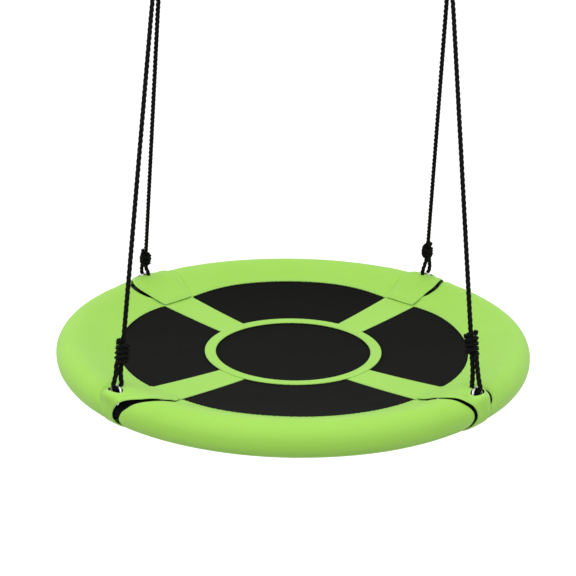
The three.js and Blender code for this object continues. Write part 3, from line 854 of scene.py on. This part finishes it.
def panel_ends(name):
    """The corners at a panel's low and high end, with their azimuths counted up from the panel's."""
    ends = {"right": ("front_right", "back_right"), "back": ("back_right", "back_left"),
            "left": ("back_left", "front_left"), "front": ("front_left", "front_right")}[name]
    way = "end" if name in ("back", "front") else "side"
    corners = [corner_named(n) for n in ends]
    azimuths = [PANELS[name] + (c.azimuth - PANELS[name] + 180) % 360 - 180 for c in corners]
    return way, corners, azimuths


def make_cover(name):
    way, (low, high), (low_azimuth, high_azimuth) = panel_ends(name)
    seed = PANELS[name] / 10

    def spot(u, s):
        low_reach, low_slit = cover_end(low, way, s)
        high_reach, high_slit = cover_end(high, way, s)
        start, stop = low_azimuth + low_reach, high_azimuth - high_reach
        azimuth = start + (stop - start) * u
        from_low = math.radians(azimuth - start) * RING_RADIUS
        from_high = math.radians(stop - azimuth) * RING_RADIUS
        slit = low_slit if u < 0.5 else high_slit
        return azimuth, min(from_low, from_high), slit

    def place(u, s):
        azimuth, from_end, slit = spot(u, s)
        curl_radius = 0.015
        t = max(0.0, 1 - from_end / curl_radius)
        curl = 0.0062 * smoothstep(slit, 0, 0.5) * (1 - math.sqrt(max(0.0, 1 - t * t)))
        tuck = 0.0022 * (1 - smoothstep(slit, 0, 0.3)) * (1 - smoothstep(from_end, 0.004, 0.020))
        return rim_point(azimuth, s, drape(azimuth, s, from_end, seed) - curl - tuck)

    def flat(u, s):
        azimuth, _, _ = spot(u, s)
        return math.radians(azimuth) * RING_RADIUS, s * SECTION.length

    cover = skin(f"green_cover_{name}", packed_ends(132), rim_rows(), place, flat, CLOTH, GREEN, outside=-1)
    settle(cover, "seat", "green_cloth", f"rim_cover_{name}")
    rows = []
    for s in (0.0105, 0.031, SEAM_PLACE - 0.012, 1 - 0.02):
        rows.append([place(u, s) for u in evenly(0.012, 0.988, 260)])
    stitches = settle(stitching(f"cover_stitching_{name}", rows, GREEN_THREAD), "seat", "green_cloth")
    return cover


def make_wrap(corner):
    reach = WRAP_REACH[corner.name]
    middle = corner.slip * corner.to_end
    seed = corner.azimuth

    def azimuth_at(u, s):
        """u runs from 0 at the side panel to 1 at the end panel, whichever way round that is."""
        low, high = -curve_at(reach["side"], s), curve_at(reach["end"], s)
        return low + (high - low) * u

    def place(u, s):
        off = azimuth_at(u, s)
        azimuth = corner.azimuth + corner.to_end * off
        metres = math.radians(off - middle) * 0.47
        lip = HUMP[corner.name] * math.exp(-((metres / 0.021) ** 2))
        lip *= math.exp(-(((s - SLOT_PLACE - 0.046) / 0.036) ** 2))
        inner = 0.0030 * math.exp(-((metres / 0.023) ** 2))
        inner *= math.exp(-(((s - SLOT_PLACE + 0.062) / 0.045) ** 2))
        from_side = u * (1 - u) * 4
        crown = 0.0031 if s < 0.44 else 0.0031 - 0.0014 * smoothstep(s, 0.44, 0.54)
        crown -= 0.0012 * (1 - smoothstep(from_side, 0, 0.5))
        crease = 0.0007 * math.sin(metres / 0.0052 + s * 21 + seed) * smoothstep(s, 0.05, 0.2)
        crease *= 1 - smoothstep(s, 0.5, 0.6)
        swell = 0.0010 * noise.noise(Vector((off * 0.25, s * 7, seed)))
        return rim_point(azimuth, s, crown + crease + swell + lip + inner)

    def flat(u, s):
        return math.radians(azimuth_at(u, s)) * RING_RADIUS, s * SECTION.length

    def hole(u, s):
        off = azimuth_at(u, s)
        x, y = math.radians(off - middle) * 0.471, (s - SLOT_PLACE) * SECTION.length
        far = math.hypot(x / SLOT_ALONG, y / SLOT_ACROSS)
        if far < 1e-6:
            return 0.0, (u, s)
        new_s = SLOT_PLACE + y / far / SECTION.length
        low, high = -curve_at(reach["side"], new_s), curve_at(reach["end"], new_s)
        return far, ((middle + math.degrees(x / far / 0.471) - low) / (high - low), new_s)

    outside = -corner.to_end
    rows = sorted(evenly(0, 1, 110) + evenly(SLOT_PLACE - 0.06, SLOT_PLACE + 0.06, 40))
    wrap = skin(f"corner_cloth_{corner.name}", evenly(0, 1, 56), rows, place, flat, CLOTH, GREEN, outside,
                hole=hole)
    settle(wrap, "seat", "green_cloth", f"corner_wrap_{corner.name}")
    lines = [[place(u, s) for s in evenly(0.01, 0.99, 150)] for u in (0.055, 0.945)]
    lines += [[place(u, s) for u in evenly(0.06, 0.94, 40)] for s in (0.012, 0.030)]
    stitches = stitching(f"corner_stitching_{corner.name}", lines, GREEN_THREAD)
    settle(stitches, "seat", "green_cloth")


for panel_name in PANELS:
    make_cover(panel_name)
for rim_corner in CORNERS:
    make_wrap(rim_corner)


# ---- mat, middle band and diagonal straps ----
BAND_INNER = 0.166
BAND_OUTER = 0.189
STRAP_INNER_HALF = 0.0345
STRAP_OUTER_HALF = 0.0425
STRAP_START = 0.184
STRAP_END = 0.376
STRAP_CLOTH = 0.0010


def on_mat(x, y, lift):
    radius, azimuth = math.hypot(x, y), math.degrees(math.atan2(y, x))
    return Vector((RING_X + x, y, RING_LEVEL + mat_height(azimuth, radius) + lift))


def make_mat():
    def disc(u, v):
        """A square grid drawn out to a disc, so that its weave runs straight."""
        return u * math.sqrt(1 - v * v / 2) * MAT_RADIUS, v * math.sqrt(1 - u * u / 2) * MAT_RADIUS

    def place(u, v):
        x, y = disc(u, v)
        ripple = 0.0007 * noise.noise(Vector((x * 7, y * 7, 3.1)))
        return on_mat(x, y, 0.0008 + ripple)

    mat = skin("woven_mat", evenly(-1, 1, 110), evenly(-1, 1, 110), place, disc, 0.0015, BLACK)
    settle(mat, "seat", "black_cloth", "seat_mat")


def make_band():
    def place(u, v):
        width = (v - BAND_INNER) / (BAND_OUTER - BAND_INNER)
        crown = 0.0005 * math.sin(math.pi * width) + 0.0002 * math.sin(u * 90)
        return on_mat(v * math.cos(u), v * math.sin(u), 0.0040 + crown)

    rows = [BAND_INNER, BAND_INNER + 0.0005, *evenly(BAND_INNER + 0.003, BAND_OUTER - 0.003, 6),
            BAND_OUTER - 0.0005, BAND_OUTER]
    around = evenly(0, 2 * math.pi, 240)[:-1]
    band = skin("middle_band_cloth", around, rows, place, lambda u, v: (u * 0.178, v), 0.0012, GREEN,
                outside=-1, ring=2 * math.pi)
    settle(band, "seat", "green_cloth", "centre_band")
    rows = [[place(u, radius) for u in evenly(0, 2 * math.pi, 400)]
            for radius in (BAND_INNER + 0.0028, BAND_OUTER - 0.0028)]
    stitches = settle(stitching("middle_band_stitching", rows, GREEN_THREAD), "seat", "green_cloth")


def make_strap(corner):
    turn = math.radians(corner.azimuth)

    def flat(u, v):
        share = (v - STRAP_START) / (STRAP_END - STRAP_START)
        return u * (STRAP_INNER_HALF + (STRAP_OUTER_HALF - STRAP_INNER_HALF) * share), v

    def place(u, v):
        across, out = flat(u, v)
        x = out * math.cos(turn) - across * math.sin(turn)
        y = out * math.sin(turn) + across * math.cos(turn)
        swell = 0.0006 * noise.noise(Vector((x * 18, y * 18, corner.azimuth)))
        crown = 0.0005 * (1 - u * u)
        return on_mat(x, y, 0.0022 + swell * (1 - u * u) + crown)

    across = [-1, *evenly(-0.98, 0.98, 20), 1]
    strap = skin(f"diagonal_cloth_{corner.name}", across, evenly(STRAP_START, STRAP_END, 44), place, flat,
                 STRAP_CLOTH, GREEN, outside=-1)
    settle(strap, "seat", "green_cloth", f"diagonal_strap_{corner.name}")
    rows = [[place(u, v) for v in evenly(STRAP_START + 0.002, STRAP_END, 60)] for u in (-0.93, 0.93)]
    stitches = stitching(f"diagonal_stitching_{corner.name}", rows, GREEN_THREAD)
    settle(stitches, "seat", "green_cloth")


make_mat()
make_band()
for mat_corner in CORNERS:
    make_strap(mat_corner)
# ---- inside the rim: steel ring, foam sleeves, webbing ----
SPIGOT_ANGLE = 5.0
SPIGOT_RADIUS = 0.0142
FOAM_RADIUS = 0.031
FOAM_PRESSED = 0.026
FOAM_BORE = 0.0186
FOAM_GAP = 4.3
# These sizes are for the black sheet of painted shade that sits deep under the corner slits.
SHADE_SHEET_DEPTH = 0.0084
SHADE_SHEET_HALF = 10.0
SHADE_SHEET_SPAN = (0.10, 0.97)
SHADE_SHEET_THICKNESS = 0.0008
SHADE_SHEET_HOLE = (0.0172, 0.016)
WEBBING_WIDTH = 0.020
WEBBING_THICKNESS = 0.0018
WEBBING_RADIUS = TUBE_RADIUS + 0.0021 + WEBBING_THICKNESS
BAR_DISTANCE = 0.0315
BAR_ANGLE = math.radians(23.5)
BAR_WIRE = 0.0025
BAR_TURN = BAR_WIRE + 0.001 + WEBBING_THICKNESS


def hose(name, line, outer, inner, sides, material, sharp=40):
    """A hollow rod along a line on the ring, with outer and inner radii given at each point of the line."""
    form = Form()
    up = Vector((0, 0, 1))
    for radii in (outer, inner):
        for point, ahead, radius in zip(line, directions(line), radii):
            out = ahead.cross(up).normalized()
            for k in range(sides):
                angle = 2 * math.pi * k / sides
                across = out * math.cos(angle) + ahead.cross(out) * math.sin(angle)
                form.points.append(point + across * radius)
    travelled = [0.0]
    for a, b in zip(line, line[1:]):
        travelled.append(travelled[-1] + (b - a).length)
    count, lower = len(line), len(line) * sides
    for i in range(count - 1):
        for k in range(sides):
            n = (k + 1) % sides
            face = [i * sides + k, i * sides + n, (i + 1) * sides + n, (i + 1) * sides + k]
            edge = 2 * math.pi / sides * outer[i]
            unrolled = [(travelled[i], k * edge), (travelled[i], (k + 1) * edge),
                        (travelled[i + 1], (k + 1) * edge), (travelled[i + 1], k * edge)]
            form.face(face, unrolled)
            form.face([lower + index for index in reversed(face)], unrolled[::-1])
    for start, flip in ((0, False), ((count - 1) * sides, True)):
        for k in range(sides):
            n = (k + 1) % sides
            face = [start + n, start + k, lower + start + k, lower + start + n]
            form.face(face[::-1] if flip else face, [(0.0, 0.0), (0.0, 0.001), (0.001, 0.001), (0.001, 0.0)])
    return form.piece(name, material, sharp=sharp)


def make_frame_tube(name, start):
    """A quarter of the ring: its far end is drawn down to a spigot that goes into the next quarter."""
    body = evenly(start + 0.05, start + 90 - 0.3, 60)
    spigot = [start + 90 - 0.1, *evenly(start + 90, start + 90 + SPIGOT_ANGLE, 6)]
    outer = [TUBE_RADIUS] * len(body) + [SPIGOT_RADIUS] * len(spigot)
    line = [ring_point(azimuth, RING_RADIUS, 0) for azimuth in body + spigot]
    tube = hose(f"steel_tube_{name}", line, outer, [radius - TUBE_WALL for radius in outer], 28, STEEL_TUBE)
    settle(tube, "seat", "tube_steel", f"frame_tube_{name}")


def make_shade_sheet(corner):
    """Painted shade: a black sheet round the corner between the foam sleeves, with a hole for the webbing and
    its D ring, put deep under the corner slits so that they read as shaded gaps.
    """
    bar_s = min(evenly(0.3, 0.7, 200), key=lambda s: abs(
        math.atan2(SECTION.at(s)[1], SECTION.at(s)[0] - RING_RADIUS) - BAR_ANGLE))

    def place(u, s):
        return rim_point(corner.azimuth + u, s, -SHADE_SHEET_DEPTH)

    def flat(u, s):
        return math.radians(u) * RING_RADIUS, s * SECTION.length

    def hole(u, s):
        x, y = math.radians(u - corner.slip) * RING_RADIUS, (s - bar_s) * SECTION.length
        far = math.hypot(x / SHADE_SHEET_HOLE[0], y / SHADE_SHEET_HOLE[1])
        if far < 1e-6:
            return 0.0, (u, s)
        return far, (corner.slip + math.degrees(x / far / RING_RADIUS), bar_s + y / far / SECTION.length)

    # The black sheet made here is painted shade under the corner slits.
    shade_sheet = skin(f"corner_shade_sheet_{corner.name}", evenly(-SHADE_SHEET_HALF, SHADE_SHEET_HALF, 40),
                  evenly(*SHADE_SHEET_SPAN, 90), place, flat, SHADE_SHEET_THICKNESS, BLACK, outside=-1, hole=hole)
    settle(shade_sheet, "seat", "black_cloth")


def make_sleeve(name):
    _, _, (low, high) = panel_ends(name)
    stations = evenly(low + FOAM_GAP, high - FOAM_GAP, 90)
    outer = [FOAM_PRESSED + (FOAM_RADIUS - FOAM_PRESSED) * smoothstep(min(a - low, high - a), 6.0, 11.5)
             for a in stations]
    line = [ring_point(azimuth, RING_RADIUS, 0) for azimuth in stations]
    sleeve = hose(f"foam_tube_{name}", line, outer, [FOAM_BORE] * len(line), 32, FOAM)
    settle(sleeve, "seat", "foam", f"foam_sleeve_{name}")


def webbing_outline():
    """The webbing's outer face in the rim's section, closed: round the steel, then round the D ring's bar."""
    bar = Vector((BAR_DISTANCE * math.cos(BAR_ANGLE), BAR_DISTANCE * math.sin(BAR_ANGLE), 0))
    tangent = math.pi / 2 - math.asin((WEBBING_RADIUS - BAR_TURN) / BAR_DISTANCE)
    points = []
    for angle in evenly(BAR_ANGLE - tangent, BAR_ANGLE + tangent, 12):
        points.append(bar + Vector((math.cos(angle), math.sin(angle), 0)) * BAR_TURN)
    for angle in evenly(BAR_ANGLE + tangent, BAR_ANGLE + 2 * math.pi - tangent, 48):
        points.append(Vector((math.cos(angle), math.sin(angle), 0)) * WEBBING_RADIUS)
    return points


def make_webbing(corner):
    outline = webbing_outline()
    around = list(range(len(outline)))
    travelled = [0.0]
    for a, b in zip(outline, [*outline[1:], outline[0]]):
        travelled.append(travelled[-1] + (b - a).length)
    turn = math.radians(corner.ring_azimuth)
    sideways = Vector((-math.sin(turn), math.cos(turn), 0))

    def place(u, v):
        point = outline[int(u)]
        return ring_point(corner.ring_azimuth, RING_RADIUS + point.x, point.y) + sideways * v

    rows = [-WEBBING_WIDTH / 2, *evenly(-0.0095, 0.0095, 8), WEBBING_WIDTH / 2]
    loop = skin(f"webbing_band_{corner.name}", around, rows, place, lambda u, v: (travelled[int(u)], v),
                WEBBING_THICKNESS, WEBBING, outside=1, ring=len(outline))
    settle(loop, "seat", "webbing", f"webbing_loop_{corner.name}")


# ---- D rings ----
D_HALF = 0.0135
D_STRAIGHT = 0.0185
D_LEAN = math.radians(20)
D_BEND = 0.004


def d_line():
    """The D ring's centre line in its own plane: sideways, and up from its bar."""
    points = [(0, 0)]
    for angle in evenly(-90, 0, 6):
        turn = math.radians(angle)
        points.append((D_HALF - D_BEND + D_BEND * math.cos(turn), D_BEND + D_BEND * math.sin(turn)))
    for angle in evenly(0, 180, 20):
        turn = math.radians(angle)
        points.append((D_HALF * math.cos(turn), D_STRAIGHT + D_HALF * math.sin(turn)))
    for angle in evenly(180, 270, 6):
        turn = math.radians(angle)
        points.append((-D_HALF + D_BEND + D_BEND * math.cos(turn), D_BEND + D_BEND * math.sin(turn)))
    return points


def make_d_ring(corner):
    turn = math.radians(corner.ring_azimuth)
    outward = Vector((math.cos(turn), math.sin(turn), 0))
    sideways = Vector((-math.sin(turn), math.cos(turn), 0))
    up = Vector((0, 0, math.cos(D_LEAN))) - outward * math.sin(D_LEAN)
    bar = ring_point(corner.ring_azimuth, RING_RADIUS + BAR_DISTANCE * math.cos(BAR_ANGLE),
                     BAR_DISTANCE * math.sin(BAR_ANGLE))
    line = [bar + sideways * x + up * y for x, y in d_line()]
    facing = sideways.cross(up)
    form = Form().tube(line, BAR_WIRE, 14, [facing] * len(line), closed=True)
    ring = form.piece(f"steel_d_{corner.name}", BRIGHT)
    settle(ring, f"{corner.side_name}_ropes", "zinc_steel", f"d_ring_{corner.name}")


QUARTERS = {"back_right": 0, "back_left": 90, "front_left": 180, "front_right": 270}
for tube_name, tube_start in QUARTERS.items():
    make_frame_tube(tube_name, tube_start)
for sleeve_name in PANELS:
    make_sleeve(sleeve_name)
for ring_corner in CORNERS:
    make_webbing(ring_corner)
    make_shade_sheet(ring_corner)
    make_d_ring(ring_corner)


# ---- hanging rings, rope seizings and snap hooks ----
HOOK_WIRE = 0.004
HOOK_BEND = 0.016
HOOK_STRAIGHT = 0.040
HOOK_LOW = EYE_HEIGHT + 2 * HANG_RING_RADIUS - RING_WIRE - HOOK_WIRE - 0.0003
HINGE_HEIGHT = HOOK_LOW + HOOK_BEND + 0.004
GATE_RADIUS = 0.0034
GATE_TOP = HOOK_LOW + HOOK_BEND + HOOK_STRAIGHT - 0.001
GATE_SLOT = 0.003
TONGUE = 0.0024
PIN_RADIUS = 0.0012
TWINE = 0.0010
TWINE_TURNS = 9
SEIZE_SPAN = 0.020


def make_hanging_ring(side, side_name):
    middle = Vector((side * HANG_HALF, 0, RING_LEVEL + EYE_HEIGHT + HANG_RING_RADIUS))
    line, radii = [], []
    for k in range(96):
        angle = 2 * math.pi * k / 96
        line.append(middle + Vector((0, math.cos(angle), math.sin(angle))) * HANG_RING_RADIUS)
        weld = math.exp(-(((angle - math.pi * 0.93) * HANG_RING_RADIUS / 0.0016) ** 2))
        radii.append(RING_WIRE + 0.00035 * weld)
    form = Form().tube(line, radii, 16, [Vector((1, 0, 0))] * 96, closed=True)
    ring = form.piece(f"steel_ring_{side_name}", BRIGHT)
    settle(ring, f"{side_name}_ring", "zinc_steel", f"hanging_ring_{side_name}")


def seizing_tree():
    """Winds the given outline with twine: one closed turn of round twine at every step up."""
    tree = repeat_tree("twine_turns", [("Turns", "NodeSocketInt"), ("Rise", "NodeSocketVector"),
                                       ("Twine Radius", "NodeSocketFloat"), ("Twine", "NodeSocketMaterial")])
    new = tree.nodes.new
    given, result = new("NodeGroupInput"), new("NodeGroupOutput")
    curve, section = new("GeometryNodeMeshToCurve"), new("GeometryNodeCurvePrimitiveCircle")
    turn = new("GeometryNodeCurveToMesh")
    section.inputs["Resolution"].default_value = 8
    steps, copies = new("GeometryNodeMeshLine"), new("GeometryNodeInstanceOnPoints")
    real, painted = new("GeometryNodeRealizeInstances"), new("GeometryNodeSetMaterial")
    chain(tree, (given, "Geometry", curve, "Mesh"), (given, "Twine Radius", section, "Radius"),
          (curve, "Curve", turn, "Curve"), (section, "Curve", turn, "Profile Curve"),
          (given, "Turns", steps, "Count"), (given, "Rise", steps, "Offset"),
          (steps, "Mesh", copies, "Points"), (turn, "Mesh", copies, "Instance"),
          (copies, "Instances", real, "Geometry"), (real, "Geometry", painted, "Geometry"),
          (given, "Twine", painted, "Material"), (painted, "Geometry", result, "Geometry"))
    return tree


SEIZING_TREE = seizing_tree()


def make_seizing(side, side_name):
    half, radius = ROPE_RADIUS + 0.0003, ROPE_RADIUS + 0.0002 + TWINE
    base = RING_LEVEL + SEIZE_BOTTOM + TWINE
    points = []
    for centre, first in ((half, -90), (-half, 90)):
        for angle in evenly(first, first + 180, 14):
            turn = math.radians(angle)
            x = side * HANG_HALF + centre + radius * math.cos(turn)
            points.append((x, radius * math.sin(turn), base))
    mesh = bpy.data.meshes.new(f"twine_seizing_{side_name}")
    mesh.from_pydata(points, [(k, (k + 1) % len(points)) for k in range(len(points))], [])
    made = bpy.data.objects.new(mesh.name, mesh)
    bpy.context.scene.collection.objects.link(made)
    rise = (SEIZE_SPAN - 2 * TWINE) / (TWINE_TURNS - 1)
    values = {"Turns": TWINE_TURNS, "Rise": (0.0, 0.0, rise), "Twine Radius": TWINE, "Twine": ROPE}
    run_tree(made, SEIZING_TREE, values)
    settle(made, f"{side_name}_ropes", "rope", f"rope_seizing_{side_name}")


def box_form(low, high):
    form = Form()
    xs, ys, zs = zip(low, high)
    form.points = [Vector((x, y, z)) for x in xs for y in ys for z in zs]
    for face in ((0, 1, 3, 2), (4, 6, 7, 5), (0, 4, 5, 1), (2, 3, 7, 6), (0, 2, 6, 4), (1, 5, 7, 3)):
        form.face(list(face), [(0.0, 0.0), (0.001, 0.0), (0.001, 0.001), (0.0, 0.001)])
    return form


def carve(made, tool, operation):
    """Cuts a tool out of a piece, or joins it on, and leaves the piece's plain mesh."""
    modifier = made.modifiers.new("carve", "BOOLEAN")
    modifier.operation, modifier.object, modifier.solver = operation, tool, "EXACT"
    bpy.context.view_layer.update()
    mesh = bpy.data.meshes.new_from_object(made.evaluated_get(bpy.context.evaluated_depsgraph_get()))
    made.modifiers.clear()
    made.data = mesh
    bpy.data.objects.remove(tool)
    return made


def pin_line(x, reach):
    return [Vector((x, y, RING_LEVEL + HINGE_HEIGHT)) for y in (-reach, 0, reach)]


def make_hook(side, side_name):
    middle = side * HANG_HALF
    x = middle + side * HOOK_BEND
    path = [Vector((x, 0, RING_LEVEL + HINGE_HEIGHT + rise)) for rise in (0.003, 0.0)]
    for low, first in ((HOOK_LOW + HOOK_BEND, 0), (HOOK_LOW + HOOK_BEND + HOOK_STRAIGHT, 180)):
        for angle in evenly(first, first - 180, 20):
            turn = math.radians(angle)
            path.append(Vector((middle + side * HOOK_BEND * math.cos(turn), 0,
                                RING_LEVEL + low + HOOK_BEND * math.sin(turn))))
    facing = [Vector((0, 1, 0))] * len(path)
    hook = Form().tube(path, HOOK_WIRE, 18, facing).piece(f"steel_hook_{side_name}", BRIGHT)
    level = RING_LEVEL + HINGE_HEIGHT
    slot = box_form((x - 0.010, -GATE_SLOT / 2, level - 0.004), (x + 0.010, GATE_SLOT / 2, level + 0.007))
    carve(hook, slot.piece("slot", BRIGHT), "DIFFERENCE")
    bore = Form().tube(pin_line(x, 0.010), PIN_RADIUS + 0.0003, 16)
    carve(hook, bore.piece("bore", BRIGHT), "DIFFERENCE")
    settle(hook, "hooks", "zinc_steel", f"snap_hook_{side_name}")
    rises = (0.0045, 0.0050, 0.0058)
    line = [Vector((x, 0, level + rise)) for rise in rises]
    line += [Vector((x, 0, RING_LEVEL + GATE_TOP - drop)) for drop in (0.0012, 0.0004, 0.0)]
    gate = Form().tube(line, [GATE_RADIUS * share for share in (0.75, 0.92, 1, 1, 0.92, 0.75)], 18,
                       [Vector((0, 1, 0))] * 6).piece(f"steel_gate_{side_name}", BRIGHT)
    tongue = box_form((x - 0.0023, -TONGUE / 2, level - 0.0026), (x + 0.0023, TONGUE / 2, level + 0.0064))
    carve(gate, tongue.piece("tongue", BRIGHT), "UNION")
    bore = Form().tube(pin_line(x, 0.010), PIN_RADIUS + 0.0003, 16)
    carve(gate, bore.piece("bore", BRIGHT), "DIFFERENCE")
    settle(gate, f"{side_name}_gate", "zinc_steel", f"hook_gate_{side_name}")


for hanging_side, hanging_name in ((-1, "left"), (1, "right")):
    make_hanging_ring(hanging_side, hanging_name)
    make_seizing(hanging_side, hanging_name)
    make_hook(hanging_side, hanging_name)

# the ring's bolts and nuts and the gates' pins keep their plain shapes
for node_name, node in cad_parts.items():
    if node_name.startswith(("frame_bolt", "frame_nut", "gate_pin")):
        for holder in node.material_slots:
            holder.material = STEEL_TUBE if node_name.startswith("gate_pin") else BRIGHT


# ---- studio ----
def make_studio():
    world = bpy.data.worlds.new("studio")
    world.use_nodes = True
    nodes, links = world.node_tree.nodes, world.node_tree.links
    coordinate, split = nodes.new("ShaderNodeTexCoord"), nodes.new("ShaderNodeSeparateXYZ")
    ramp = nodes.new("ShaderNodeValToRGB")
    height = nodes.new("ShaderNodeMapRange")
    height.inputs["From Min"].default_value = -1
    links.new(coordinate.outputs["Generated"], split.inputs[0])
    links.new(split.outputs["Z"], height.inputs["Value"])
    links.new(height.outputs[0], ramp.inputs["Fac"])
    links.new(ramp.outputs[0], nodes["Background"].inputs["Color"])
    ramp.color_ramp.elements[0].position = 0.30
    ramp.color_ramp.elements[0].color = (0.42, 0.42, 0.42, 1)
    ramp.color_ramp.elements[1].position = 0.48
    ramp.color_ramp.elements[1].color = (0.93, 0.93, 0.93, 1)
    bpy.context.scene.world = world
    softbox = bpy.data.objects.new("softbox", bpy.data.lights.new("softbox", "AREA"))
    softbox.data.size = 3.0
    softbox.data.energy = 26
    softbox.location = (-0.6, -1.6, RING_LEVEL + 2.6)
    softbox.rotation_euler = (-softbox.location).to_track_quat("Z", "Y").to_euler()
    target = Vector((0, 0, RING_LEVEL)) - softbox.location
    softbox.rotation_euler = target.to_track_quat("-Z", "Y").to_euler()
    bpy.context.scene.collection.objects.link(softbox)
    mesh = bpy.data.meshes.new("floor")
    half = 40
    corners = [(-half, -half, 0), (half, -half, 0), (half, half, 0), (-half, half, 0)]
    mesh.from_pydata(corners, [], [(0, 1, 2, 3)])
    floor = bpy.data.objects.new("floor", mesh)
    floor.location.z = RING_LEVEL - 1.0
    bpy.context.scene.collection.objects.link(floor)
    pale = Finish("pale_floor", 0.9, 0.2)
    mesh.materials.append(pale.finish(pale.blend(pale.noise(0.4), (0.95, 0.95, 0.95), (0.97, 0.97, 0.97))))
    floor.visible_diffuse = False
    pale.shader.inputs["Emission Color"].default_value = (1, 1, 1, 1)
    pale.shader.inputs["Emission Strength"].default_value = 0.25
    bpy.context.scene.view_settings.view_transform = "Standard"


make_studio()
